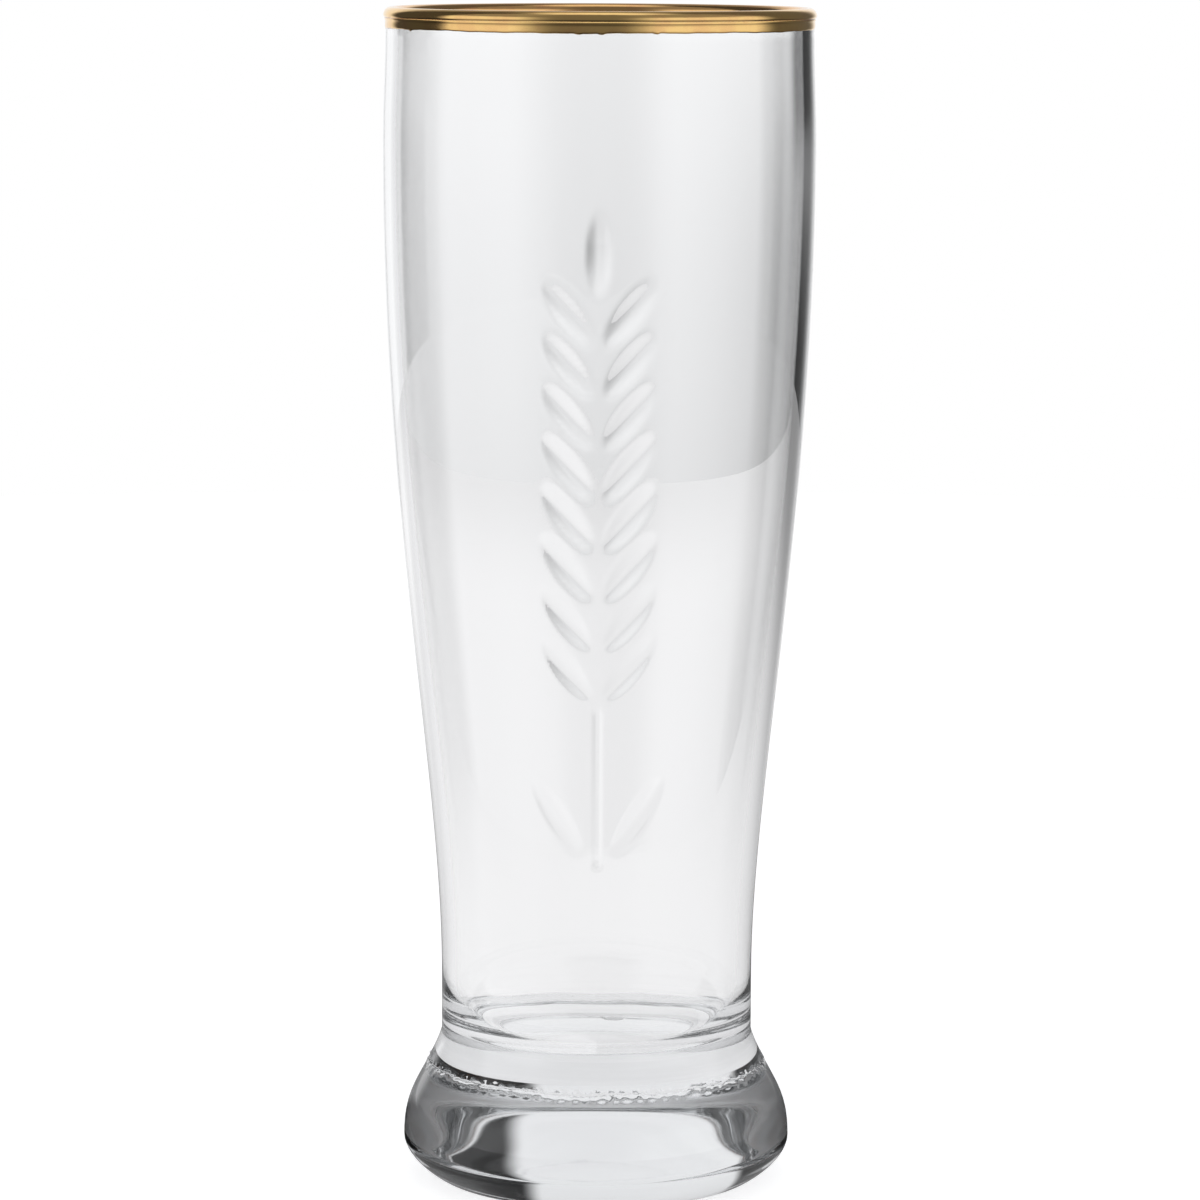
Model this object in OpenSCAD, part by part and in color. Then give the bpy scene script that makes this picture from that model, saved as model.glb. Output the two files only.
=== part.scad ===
// Tall vase-shaped beer glass: a blown bowl fused into a heavy pressed foot, a raised ear of barley
// moulded on the front, and a gold band fired over the lip. Millimetres. +Z is up, the glass stands
// on the plane z = 0 with its axis on the Z axis, and its front faces -Y.

/* [Bowl outside] */
// Height from the table to the top of the gilded lip
glass_h = 175; // [165:0.5:190]
// Diameter at the belly, the widest place of the bowl
belly_d = 63.9; // [60:0.1:68]
// Drop from the top of the lip to the belly
belly_drop = 20.3; // [14:0.1:30]
// How much narrower than the belly the neck is, just under the lip
neck_less = 0.8; // [0:0.1:3]
// Drop from the top of the lip to the neck
neck_drop = 2.4; // [2.2:0.1:4]
// Diameter at the waist, the narrowest place of the bowl
waist_d = 46.6; // [44:0.1:49]
// Length of the straight waist above the heel
waist_len = 8.6; // [4:0.1:14]
// Height of the flared heel, from the seam up to the waist
heel_h = 4.7; // [3:0.1:7]

/* [Bowl inside] */
// Thickness of the wall at the neck
neck_wall = 1.7; // [1.4:0.05:2.1]
// Thickness of the wall at the waist
waist_wall = 2.1; // [1.6:0.05:3]
// Thickness of the beaded lip
lip_t = 2.2; // [2.15:0.01:2.6]
// How far the lip's bead stands proud of the neck
lip_proud = 0.25; // [0.1:0.01:0.4]
// Height of the floor inside above the seam
floor_rise = 4.4; // [2:0.1:8]
// Diameter of the flat floor inside
floor_d = 32.4; // [26:0.1:36]
// Diameter of the small mark in the floor
mark_d = 3.2; // [2:0.1:5]
// Depth of the small mark in the floor
mark_depth = 0.4; // [0.2:0.05:0.8]
// Distance of the small mark from the axis, to the right
mark_off = 2.6; // [0:0.1:8]

/* [Foot] */
// Height of the foot at its outer edge, up to the seam
foot_h = 17.3; // [15:0.1:20]
// Diameter at the seam between the foot and the bowl's heel
seam_d = 50.6; // [49.4:0.1:53]
// Depth of the notch that runs round along the seam
seam_notch = 0.3; // [0.1:0.05:0.5]
// Diameter of the foot at its widest place
foot_d = 58; // [55:0.1:62]
// Height of the foot's widest place above the table
foot_belly_h = 5.9; // [4:0.1:8]
// How far the foot's dished top sinks in the middle, below the seam
seat_dish = 2.5; // [1:0.1:4]
// Outside diameter of the standing ring
ring_d = 47.2; // [42:0.1:50]
// Width of the flat standing ring
ring_w = 2.6; // [1.5:0.1:4]
// Height of the hollow under the foot in the middle
hollow_h = 4; // [1.5:0.1:5]

/* [Gold band] */
// Drop of the gold's lower edge outside, from the top of the lip
gold_drop_out = 3.1; // [2.6:0.1:6]
// Drop of the gold's lower edge inside, from the top of the lip
gold_drop_in = 2.8; // [2.6:0.1:6]
// Thickness of the gold, drawn thicker than the fired film so that it is a body of its own
gold_t = 0.1; // [0.08:0.01:0.2]

/* [Raised ear of barley] */
// Height of the stalk's lower end above the table
stalk_low_z = 51; // [45:0.5:56]
// Length of the stalk
stalk_len = 24; // [18:0.5:26]
// Width of the stalk
stalk_w = 1.2; // [0.8:0.1:1.4]
// How far the stalk stands proud of the wall
stalk_rise = 0.35; // [0.2:0.05:0.6]
// Least drop from the top of the lip to the tip of the ear
ear_drop = 26; // [24:0.5:60]
// Height between two rows of grains
row_pitch = 7.4; // [7:0.1:8]
// Length of a grain where it leaves the wall
grain_len = 12; // [9:0.1:12.5]
// Width of a grain where it leaves the wall
grain_w = 3.8; // [3:0.1:4.1]
// How far a grain stands proud of the wall
grain_rise = 0.5; // [0.3:0.05:0.7]
// Lean of a grain away from the ear's middle line, in degrees
grain_lean = 38; // [34:1:42]
// Length of a leaf where it leaves the wall
leaf_len = 14; // [12:0.5:15]
// Width of a leaf where it leaves the wall
leaf_w = 3.8; // [3:0.1:4.4]
// Lean of a leaf away from the stalk, in degrees
leaf_lean = 32; // [28:1:36]

/* [Hidden] */
$fn = 96;
wall_facets = 360;

// Steps along each curve
wall_steps = 26;
rim_steps = 6;
bead_steps = 14;
heel_steps = 4;
flare_steps = 7;
under_steps = 7;
corner_steps = 7;
dish_steps = 6;
grain_steps = 6;

// Distance of the grains' tips from the ear's middle line and from the stalk's end
tip_gap = 0.8;

// Distance of the leaves' tips from the stalk's edge, and their height above its lower end
leaf_gap = 1.8;

// Radii and heights worked out from the sizes above
belly_r = belly_d / 2;
neck_r = (belly_d - neck_less) / 2;
waist_r = waist_d / 2;
seam_r = seam_d / 2;
foot_r = foot_d / 2;
ring_r = ring_d / 2;
floor_r = floor_d / 2;
lip_r = lip_t / 2;
lip_top_z = glass_h - gold_t;
neck_z = glass_h - neck_drop;
belly_z = glass_h - belly_drop;
heel_top_z = foot_h + heel_h;
waist_top_z = heel_top_z + waist_len;
floor_z = foot_h + floor_rise;
bead_z = lip_top_z - lip_r;
bead_x = neck_r + lip_proud - lip_r;

// Slopes of the flare, as radius gained for each unit of height lost
heel_slope_share = 0.31;
seam_slope_share = 0.5;

// Lengths of the handles of the curves, as shares of the height that each curve spans
waist_arm_share = 0.244;
belly_arm_share = 0.466;
rim_arm_share = 0.4;
heel_arm_share = 0.4;
seam_arm_share = 0.33;
foot_arm_share = 0.5;
under_arm_share = 0.9;
corner_arm_share = 0.6;

// Shares of the beaded lip's turn at which the neck's curve meets it, in degrees from level
bead_out_angle = -42;
bead_in_angle = 215;

function bezier(a, b, c, d, steps) = [
    for (i = [0 : steps])
        let (t = i / steps, u = 1 - t)
            u * u * u * a + 3 * u * u * t * b + 3 * u * t * t * c + t * t * t * d
];

function reversed(points) = [for (i = [len(points) - 1 : -1 : 0]) points[i]];

function without_first(points) = [for (i = [1 : len(points) - 1]) points[i]];

// Arc of a shallow dish from its rim at radius r and height z to its middle, sink lower or higher
function dish(r, z, sink, steps) =
    let (ball_r = cap_radius(2 * r, abs(sink)), way = sign(sink))
        [for (i = [0 : steps])
            let (x = r * (1 - i / steps))
                [x, z - sink + way * (ball_r - sqrt(ball_r * ball_r - x * x))]];

// Outline of the bowl from the waist's top up to the neck
wall_low = bezier(
    [waist_r, waist_top_z],
    [waist_r, waist_top_z + waist_arm_share * (belly_z - waist_top_z)],
    [belly_r, belly_z - belly_arm_share * (belly_z - waist_top_z)],
    [belly_r, belly_z],
    wall_steps);
wall_high = bezier(
    [belly_r, belly_z],
    [belly_r, belly_z + rim_arm_share * (neck_z - belly_z)],
    [neck_r, neck_z - rim_arm_share * (neck_z - belly_z)],
    [neck_r, neck_z],
    rim_steps);
wall_outside = concat(wall_low, without_first(wall_high));
wall_radius = [for (p = wall_outside) [p.y, p.x]];

function wall_at(z) =
    waist_wall + (neck_wall - waist_wall) * (z - waist_top_z) / (neck_z - waist_top_z);

wall_inside = [for (p = wall_outside) [p.x - wall_at(p.y), p.y]];

// The bead round the lip, and how it grows by t for the gold
function bead(from_angle, to_angle, steps, t = 0) = [
    for (i = [0 : steps])
        let (a = from_angle + (to_angle - from_angle) * i / steps)
            [bead_x + (lip_r + t) * cos(a), bead_z + (lip_r + t) * sin(a)]
];

lip_outline = bead(bead_out_angle, bead_in_angle, bead_steps);

// The flared heel, from the waist down to the seam's notch
heel_end = [seam_r - seam_slope_share * seam_notch, foot_h + seam_notch];
heel_outline = bezier(
    [waist_r, heel_top_z],
    [waist_r + heel_arm_share * heel_h * heel_slope_share, heel_top_z - heel_arm_share * heel_h],
    heel_end + seam_arm_share * heel_h * [-seam_slope_share, 1],
    heel_end,
    heel_steps);

// The dish in the foot's top, which is the bowl's underside too
seam_bottom_r = seam_r - seam_notch;
seat_outline = dish(seam_bottom_r, foot_h, seat_dish, dish_steps);

// The foot's flare, its rounded belly and the rounded edge down to the standing ring
flare_start = [seam_r + seam_slope_share * seam_notch, foot_h - seam_notch];
flare_h = flare_start.y - foot_belly_h;
flare_outline = bezier(
    flare_start,
    flare_start + seam_arm_share * flare_h * [seam_slope_share, -1],
    [foot_r, foot_belly_h + foot_arm_share * flare_h],
    [foot_r, foot_belly_h],
    flare_steps);
under_outline = bezier(
    [foot_r, foot_belly_h],
    [foot_r, foot_belly_h - foot_arm_share * foot_belly_h],
    [foot_r - under_arm_share * (foot_r - ring_r), 0],
    [ring_r, 0],
    under_steps);
hollow_outline = dish(ring_r - ring_w, 0, -hollow_h, dish_steps);

// The floor inside and the round corner up to the waist
corner_end = [waist_r - waist_wall, waist_top_z];
corner_outline = bezier(
    [floor_r, floor_z],
    [floor_r + corner_arm_share * (corner_end.x - floor_r), floor_z],
    [corner_end.x, waist_top_z - corner_arm_share * (waist_top_z - floor_z)],
    corner_end,
    corner_steps);

// Everything inside the bowl's outer face from the waist up, and level out from it by grow
function wall_grown(low_z, high_z, grow) =
    let (inner = [for (p = wall_outside) if (p.y > low_z && p.y < high_z) p])
        concat(
            [[lookup(low_z, wall_radius) + grow, low_z]],
            [for (p = inner) [p.x + grow, p.y]],
            [[lookup(high_z, wall_radius) + grow, high_z]]);

module bowl() {
    mark_ball_r = cap_radius(mark_d, mark_depth);
    color([0.86, 0.9, 0.89, 0.45])
        difference() {
            rotate_extrude()
                polygon(concat(
                    reversed(seat_outline),
                    reversed(heel_outline),
                    wall_outside,
                    lip_outline,
                    reversed(wall_inside),
                    without_first(reversed(corner_outline)),
                    [[0, floor_z]]));
            translate([mark_off, 0, floor_z + mark_ball_r - mark_depth])
                sphere(r = mark_ball_r);
        }
}

module foot() {
    color([0.8, 0.85, 0.85, 0.6])
        rotate_extrude()
            polygon(concat(
                reversed(seat_outline),
                flare_outline,
                without_first(under_outline),
                hollow_outline));
}

// A fired skin on the lip. Its inner face is the lip's own outline, point for point.
module rim_gold() {
    edge_out_z = glass_h - gold_drop_out;
    edge_in_z = glass_h - gold_drop_in;
    wall_inner_radius = [for (p = wall_inside) [p.y, p.x]];
    wall_out = [for (p = wall_outside) if (p.y > edge_out_z) p];
    wall_in = [for (p = wall_inside) if (p.y > edge_in_z) p];
    skin_in = concat(
        [[lookup(edge_out_z, wall_radius), edge_out_z]],
        wall_out,
        lip_outline,
        reversed(wall_in),
        [[lookup(edge_in_z, wall_inner_radius), edge_in_z]]);
    skin_out = concat(
        [[lookup(edge_out_z, wall_radius) + gold_t, edge_out_z]],
        [for (p = wall_out) [p.x + gold_t, p.y]],
        bead(bead_out_angle, bead_in_angle, bead_steps, gold_t),
        [for (p = reversed(wall_in)) [p.x - gold_t, p.y]],
        [[lookup(edge_in_z, wall_inner_radius) - gold_t, edge_in_z]]);
    color([0.83, 0.62, 0.27])
        rotate_extrude()
            polygon(concat(skin_out, reversed(skin_in)));
}

// Radius of the circle whose cap is width across and rise high
function cap_radius(width, rise) = (width * width / 4 + rise * rise) / (2 * rise);

// How far a round wall of radius r falls away at the distance side from where it is touched
function fall(side, r) = side * side / (2 * r);

// A barrel that lies along Z: round_r at its crown, along_r along it, half its length each way
module barrel(round_r, along_r, half) {
    rotate_extrude()
        polygon(concat(
            [[0, -half]],
            [for (i = [0 : grain_steps])
                let (z = half * (2 * i / grain_steps - 1))
                    [sqrt(along_r * along_r - z * z) - along_r + round_r, z]],
            [[0, half]]));
}

// A grain or a leaf on the wall: its middle is side away from the front line and at the height z
module on_wall(side, z, lean, length, width, rise) {
    wall_r = lookup(z, wall_radius);
    round_r = cap_radius(width, rise + fall(width * cos(lean) / 2, wall_r));
    along_r = cap_radius(length, rise + fall(length * sin(lean) / 2, wall_r));
    reach = length * cos(lean) / 2;
    tip = atan((lookup(z + reach, wall_radius) - lookup(z - reach, wall_radius)) / (2 * reach));
    difference() {
        rotate([0, 0, side / wall_r * 180 / PI])
            translate([0, round_r - rise - wall_r, z])
                rotate([tip, 0, 0])
                    rotate([0, lean, 0])
                        barrel(round_r, along_r, length / 2 + rise);
        rotate_extrude($fn = wall_facets)
            polygon(concat(
                [[0, z - length]],
                wall_grown(z - length, min(z + length, neck_z), 0),
                [[0, min(z + length, neck_z)]]));
    }
}

module front_relief() {
    stalk_top_z = stalk_low_z + stalk_len;
    grain_side = tip_gap + grain_len * sin(grain_lean) / 2;
    leaf_side = leaf_gap + stalk_w / 2 + leaf_len * sin(leaf_lean) / 2;
    first_z = stalk_top_z + tip_gap + grain_len * cos(grain_lean) / 2;
    ear_rows = floor((glass_h - ear_drop - grain_len / 2 - tip_gap - first_z) / row_pitch);
    last_z = first_z + ear_rows * row_pitch + tip_gap;
    stalk_angle = stalk_w / lookup(stalk_low_z, wall_radius) * 180 / PI;
    color([0.86, 0.9, 0.89, 0.45]) {
        for (way = [-1, 1]) {
            for (row = [0 : ear_rows - 1])
                on_wall(way * grain_side, first_z + row * row_pitch, way * grain_lean,
                    grain_len, grain_w, grain_rise);
            on_wall(way * leaf_side, stalk_low_z + leaf_gap + leaf_len * cos(leaf_lean) / 2,
                way * leaf_lean, leaf_len, leaf_w, grain_rise);
        }
        on_wall(0, last_z, 0, grain_len, grain_w, grain_rise);
        rotate([0, 0, -90 - stalk_angle / 2])
            rotate_extrude(angle = stalk_angle)
                polygon(concat(
                    wall_grown(stalk_low_z, stalk_top_z, stalk_rise),
                    reversed(wall_grown(stalk_low_z, stalk_top_z, 0))));
    }
}

bowl();
foot();
front_relief();
rim_gold();
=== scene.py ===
"""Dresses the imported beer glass: one clear fused body with a moulded ear of barley, and a gilded lip.

Lengths in the dataclasses are millimetres unless a field says otherwise; meshes are made in metres.
"""

from __future__ import annotations

import logging
import math
from dataclasses import dataclass, field
from enum import Enum

import bpy
import numpy as np
from mathutils import Matrix


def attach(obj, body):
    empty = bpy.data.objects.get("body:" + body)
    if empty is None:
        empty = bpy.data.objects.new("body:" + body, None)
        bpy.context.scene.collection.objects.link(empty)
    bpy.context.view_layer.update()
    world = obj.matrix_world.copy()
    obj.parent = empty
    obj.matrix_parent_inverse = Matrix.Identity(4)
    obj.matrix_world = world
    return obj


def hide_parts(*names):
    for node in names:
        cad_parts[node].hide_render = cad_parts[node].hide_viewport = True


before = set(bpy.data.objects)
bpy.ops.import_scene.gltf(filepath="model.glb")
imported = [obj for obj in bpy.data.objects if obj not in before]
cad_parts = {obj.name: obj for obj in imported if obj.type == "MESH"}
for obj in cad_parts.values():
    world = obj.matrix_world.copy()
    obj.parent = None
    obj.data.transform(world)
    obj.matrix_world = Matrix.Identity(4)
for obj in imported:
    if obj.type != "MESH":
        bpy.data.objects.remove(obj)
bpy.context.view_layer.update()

MM = 0.001
BODY = "root"
LOG = logging.getLogger("beer_glass")

Colour = tuple[float, float, float]
Point = tuple[float, float]

BLACK: Colour = (0.0, 0.0, 0.0)
WHITE: Colour = (1.0, 1.0, 1.0)


# Node trees

class Sock:
    """An output of a node that takes part in Python sums. Each sum adds its Math node."""

    def __init__(self, tree: "Tree", socket: bpy.types.NodeSocket) -> None:
        """Wraps a socket.

        Args:
            tree: The tree that the socket's node is in.
            socket: The output to wrap.
        """
        self.tree = tree
        self.socket = socket

    def __add__(self, other: "Value") -> "Sock":
        """Returns self + other."""
        return self.tree.math("ADD", self, other)

    def __radd__(self, other: "Value") -> "Sock":
        """Returns other + self."""
        return self.tree.math("ADD", other, self)

    def __sub__(self, other: "Value") -> "Sock":
        """Returns self - other."""
        return self.tree.math("SUBTRACT", self, other)

    def __rsub__(self, other: "Value") -> "Sock":
        """Returns other - self."""
        return self.tree.math("SUBTRACT", other, self)

    def __mul__(self, other: "Value") -> "Sock":
        """Returns self * other."""
        return self.tree.math("MULTIPLY", self, other)

    def __rmul__(self, other: "Value") -> "Sock":
        """Returns other * self."""
        return self.tree.math("MULTIPLY", other, self)

    def __truediv__(self, other: "Value") -> "Sock":
        """Returns self / other."""
        return self.tree.math("DIVIDE", self, other)

    def __rtruediv__(self, other: "Value") -> "Sock":
        """Returns other / self."""
        return self.tree.math("DIVIDE", other, self)

    def __neg__(self) -> "Sock":
        """Returns -self."""
        return self.tree.math("MULTIPLY", self, -1.0)

    def __abs__(self) -> "Sock":
        """Returns the size of self without its sign."""
        return self.tree.math("ABSOLUTE", self)


Value = Sock | float
Way = tuple[Value, Value, Value]


class Tree:
    """A shader or geometry tree, with one way to add a node."""

    def __init__(self, nodes: bpy.types.NodeTree) -> None:
        """Empties the tree.

        Args:
            nodes: The tree to fill.
        """
        self.nodes = nodes
        nodes.nodes.clear()

    def add(self, kind: str, settings: dict | None = None, sockets: dict | None = None) -> bpy.types.Node:
        """Adds a node.

        Args:
            kind: The node's type.
            settings: Properties to set first.
            sockets: Values or links of its inputs, by name or number.

        Returns:
            The node.
        """
        node = self.nodes.nodes.new(kind)
        for name, value in (settings or {}).items():
            setattr(node, name, value)
        for name, value in (sockets or {}).items():
            self.feed(node.inputs[name], value)
        return node

    def feed(self, socket: bpy.types.NodeSocket, value: object) -> None:
        """Links or sets one input.

        Args:
            socket: The input.
            value: A Sock, a socket, or a plain value.
        """
        if isinstance(value, Sock):
            self.nodes.links.new(value.socket, socket)
        elif isinstance(value, bpy.types.NodeSocket):
            self.nodes.links.new(value, socket)
        else:
            socket.default_value = value

    def out(self, node: bpy.types.Node, name: str | int = 0) -> Sock:
        """Returns a node's output as a Sock."""
        return Sock(self, node.outputs[name])

    def math(self, operation: str, *values: Value) -> Sock:
        """Adds a Math node.

        Args:
            operation: The node's operation.
            values: Its inputs, in order.

        Returns:
            The result.
        """
        node = self.add("ShaderNodeMath", {"operation": operation}, dict(enumerate(values)))
        return self.out(node)

    def vector_math(self, operation: str, *values: object) -> Sock:
        """Adds a Vector Math node and returns its vector."""
        node = self.add("ShaderNodeVectorMath", {"operation": operation}, dict(enumerate(values)))
        return self.out(node, "Vector")

    def axes(self, vector: Sock) -> tuple[Sock, Sock, Sock]:
        """Takes a vector apart into x, y and z."""
        node = self.add("ShaderNodeSeparateXYZ", None, {0: vector})
        return self.out(node, "X"), self.out(node, "Y"), self.out(node, "Z")

    def object_place(self) -> Sock:
        """Returns the place on the piece, in metres."""
        return self.out(self.add("ShaderNodeTexCoord"), "Object")

    def from_axis(self, x: Value, y: Value) -> Sock:
        """Returns the distance from the upright axis."""
        return self.math("SQRT", x * x + y * y)

    def level(self, x: Value, y: Value) -> Sock:
        """Returns how much of a direction is level, never quite 0, so that it can be divided by."""
        return self.math("MAXIMUM", self.from_axis(x, y), 1e-5)

    def blend(self, factor: Value, low: object, high: object) -> Sock:
        """Mixes two colours.

        Args:
            factor: How much of high, from 0 to 1.
            low: A Sock or a colour.
            high: A Sock or a colour.

        Returns:
            The mixed colour.
        """
        node = self.add("ShaderNodeMix", {"data_type": "RGBA"})
        self.feed(node.inputs["Factor"], factor)
        for name, colour in (("A", low), ("B", high)):
            socket = [s for s in node.inputs if s.name == name and s.type == "RGBA"][0]
            self.feed(socket, colour if isinstance(colour, Sock) else (*colour, 1.0))
        return Sock(self, [s for s in node.outputs if s.type == "RGBA"][0])

    def smooth(self, value: Value, low: float, high: float) -> Sock:
        """Rises smoothly from 0 to 1.

        Args:
            value: What the rise depends on.
            low: The value where it starts.
            high: The value where it ends.

        Returns:
            The risen share.
        """
        node = self.add(
            "ShaderNodeMapRange",
            {"interpolation_type": "SMOOTHSTEP"},
            {"Value": value, "From Min": low, "From Max": high})
        return self.out(node, "Result")

    def fall(self, value: Value, low: float, high: float) -> Sock:
        """Falls smoothly from 1 at low to 0 at high."""
        return 1.0 - self.smooth(value, low, high)

    def noise(self, place: object, scale: Value, detail: float, roughness: float = 0.5) -> Sock:
        """Adds a noise pattern.

        Args:
            place: The coordinates, in metres.
            scale: Lumps for each metre.
            detail: Octaves.
            roughness: How strong each finer octave is.

        Returns:
            A number round 0.5.
        """
        node = self.add(
            "ShaderNodeTexNoise",
            {"noise_dimensions": "3D"},
            {"Vector": place, "Scale": scale, "Detail": detail, "Roughness": roughness})
        return self.out(node, 0)


# Curves that the outline of the glass is made of

def bezier(a: Point, b: Point, c: Point, d: Point, steps: int) -> np.ndarray:
    """Points along a cubic curve.

    Args:
        a: Where the curve starts.
        b: The start's handle.
        c: The end's handle.
        d: Where the curve ends.
        steps: How many pieces it is cut into.

    Returns:
        One row (radius, height) for each point.
    """
    t = np.linspace(0.0, 1.0, steps + 1)[:, None]
    u = 1.0 - t
    return u**3 * np.array(a) + 3 * u * u * t * np.array(b) + 3 * u * t * t * np.array(c) + t**3 * np.array(d)


def dome(radius: float, rise: float, steps: int) -> np.ndarray:
    """A shallow round hollow that stands on the table, from its middle out to its rim.

    Args:
        radius: The rim's radius.
        rise: Height of the middle above the rim.
        steps: How many rings it is cut into.

    Returns:
        One row (radius, height) for each ring, the middle first.
    """
    ball = (radius * radius + rise * rise) / (2 * rise)
    x = radius * (1.0 - np.linspace(0.0, 1.0, steps + 1))
    z = rise - (ball - np.sqrt(ball * ball - x * x))
    return np.column_stack([x, z])[::-1]


class Surface(Enum):
    """Which part of the outline a row of the mesh belongs to."""

    UNDERSIDE = 0
    SEAM = 1
    OUTSIDE = 2
    INSIDE = 3


@dataclass(frozen=True)
class GlassOutline:
    """The outline of the fused glass, in the sizes of the model."""

    glass_h: float = 175.0
    belly_r: float = 31.95
    belly_drop: float = 20.3
    neck_r: float = 31.55
    neck_drop: float = 2.4
    waist_r: float = 23.3
    waist_len: float = 8.6
    heel_h: float = 4.7
    neck_wall: float = 1.7
    waist_wall: float = 2.1
    lip_r: float = 1.1
    lip_proud: float = 0.25
    floor_rise: float = 4.4
    floor_r: float = 16.2
    foot_h: float = 17.3
    seam_r: float = 25.3
    seam_notch: float = 0.3
    foot_r: float = 29.0
    foot_belly_h: float = 5.9
    ring_r: float = 23.6
    ring_w: float = 2.6
    hollow_h: float = 4.0
    gold_t: float = 0.1

    @property
    def lip_top_z(self) -> float:
        """Height of the glass itself, under the gold."""
        return self.glass_h - self.gold_t

    @property
    def waist_top_z(self) -> float:
        """Height at which the waist ends and the long wall starts."""
        return self.foot_h + self.heel_h + self.waist_len

    @property
    def neck_z(self) -> float:
        """Height of the neck under the lip."""
        return self.glass_h - self.neck_drop

    @property
    def belly_z(self) -> float:
        """Height of the widest place of the bowl."""
        return self.glass_h - self.belly_drop

    @property
    def floor_z(self) -> float:
        """Height of the floor inside."""
        return self.foot_h + self.floor_rise

    def wall(self, low_steps: int, high_steps: int) -> np.ndarray:
        """The outside of the wall, from the waist up to the neck.

        Args:
            low_steps: Pieces between the waist and the belly.
            high_steps: Pieces between the belly and the neck.

        Returns:
            One row (radius, height) for each point.
        """
        low_h = self.belly_z - self.waist_top_z
        high_h = self.neck_z - self.belly_z
        low = bezier(
            (self.waist_r, self.waist_top_z),
            (self.waist_r, self.waist_top_z + 0.244 * low_h),
            (self.belly_r, self.belly_z - 0.466 * low_h),
            (self.belly_r, self.belly_z),
            low_steps)
        high = bezier(
            (self.belly_r, self.belly_z),
            (self.belly_r, self.belly_z + 0.4 * high_h),
            (self.neck_r, self.neck_z - 0.4 * high_h),
            (self.neck_r, self.neck_z),
            high_steps)
        return np.vstack([low, high[1:]])

    def wall_inside(self, low_steps: int, high_steps: int) -> np.ndarray:
        """The inside of the wall, from the waist up to the neck.

        Args:
            low_steps: Pieces between the waist and the belly.
            high_steps: Pieces between the belly and the neck.

        Returns:
            One row (radius, height) for each point.
        """
        points = self.wall(low_steps, high_steps)
        share = (points[:, 1] - self.waist_top_z) / (self.neck_z - self.waist_top_z)
        points[:, 0] -= self.waist_wall + (self.neck_wall - self.waist_wall) * share
        return points

    def bead(self, steps: int, grow: float = 0.0) -> np.ndarray:
        """The rounded lip, from the neck over the top and down inside.

        Args:
            steps: Pieces that the bead is cut into.
            grow: How far outside the lip's own face the points lie.

        Returns:
            One row (radius, height) for each point.
        """
        turn = np.radians(np.linspace(-42.0, 215.0, steps + 1))
        reach = self.lip_r + grow
        middle = (self.neck_r + self.lip_proud - self.lip_r, self.lip_top_z - self.lip_r)
        return np.column_stack([middle[0] + reach * np.cos(turn), middle[1] + reach * np.sin(turn)])

    def underside(self) -> np.ndarray:
        """The hollow, the standing ring and the foot's rounded lower edge, from the axis outwards."""
        inner = self.ring_r - self.ring_w
        hollow = dome(inner, self.hollow_h, 20)
        ring = np.array([[inner + self.ring_w * s, 0.0] for s in (0.06, 0.35, 0.65, 0.94)])
        edge = bezier(
            (self.foot_r, self.foot_belly_h),
            (self.foot_r, self.foot_belly_h * 0.5),
            (self.foot_r - 0.9 * (self.foot_r - self.ring_r), 0.0),
            (self.ring_r, 0.0),
            16)[::-1]
        return np.vstack([hollow, ring, edge])

    def flare(self) -> np.ndarray:
        """The foot's flare, from its belly up to the seam."""
        start = np.array([self.seam_r + 0.5 * self.seam_notch, self.foot_h - self.seam_notch])
        height = start[1] - self.foot_belly_h
        return bezier(
            tuple(start),
            tuple(start + 0.33 * height * np.array([0.5, -1.0])),
            (self.foot_r, self.foot_belly_h + 0.5 * height),
            (self.foot_r, self.foot_belly_h),
            20)[::-1]

    def heel(self) -> np.ndarray:
        """The bowl's flared heel, from the seam up to the waist."""
        top = self.foot_h + self.heel_h
        end = np.array([self.seam_r - 0.5 * self.seam_notch, self.foot_h + self.seam_notch])
        return bezier(
            (self.waist_r, top),
            (self.waist_r + 0.4 * self.heel_h * 0.31, top - 0.4 * self.heel_h),
            tuple(end + 0.33 * self.heel_h * np.array([-0.5, 1.0])),
            tuple(end),
            14)[::-1]

    def floor(self) -> np.ndarray:
        """The round corner inside and the floor, from the waist in to the axis."""
        end = (self.waist_r - self.waist_wall, self.waist_top_z)
        corner = bezier(
            (self.floor_r, self.floor_z),
            (self.floor_r + 0.6 * (end[0] - self.floor_r), self.floor_z),
            (end[0], self.waist_top_z - 0.6 * (self.waist_top_z - self.floor_z)),
            end,
            16)[::-1]
        rings = [15.0, 13.2, 11.4, 9.6, 7.8, 6.2, 5.2] + [4.7 - 0.36 * i for i in range(13)] + [0.0]
        flat = np.array([[r, self.floor_z] for r in rings])
        return np.vstack([corner, flat])

    def rows(self) -> tuple[np.ndarray, np.ndarray]:
        """The whole outline, from the axis under the foot round to the axis inside.

        Returns:
            The points, and the Surface number of each.
        """
        notch = ((0.1, -0.66), (0.6, -0.33), (1.0, 0.0), (0.6, 0.33), (0.3, 0.66))
        crevice = np.array([
            [self.seam_r - self.seam_notch * s, self.foot_h + self.seam_notch * t] for s, t in notch])
        heel_top = self.foot_h + self.heel_h
        waist = np.array([[self.waist_r, heel_top + self.waist_len * s / 6] for s in range(1, 6)])
        pieces = [
            (self.underside(), Surface.UNDERSIDE),
            (self.flare()[1:], Surface.SEAM),
            (crevice, Surface.SEAM),
            (self.heel(), Surface.SEAM),
            (waist, Surface.OUTSIDE),
            (self.wall(176, 14), Surface.OUTSIDE),
            (self.bead(22), Surface.INSIDE),
            (self.wall_inside(52, 10)[::-1], Surface.INSIDE),
            (self.floor()[1:], Surface.INSIDE),
        ]
        points = np.vstack([p for p, _ in pieces])
        kinds = np.concatenate([np.full(len(p), k.value) for p, k in pieces])
        return points, kinds


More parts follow.
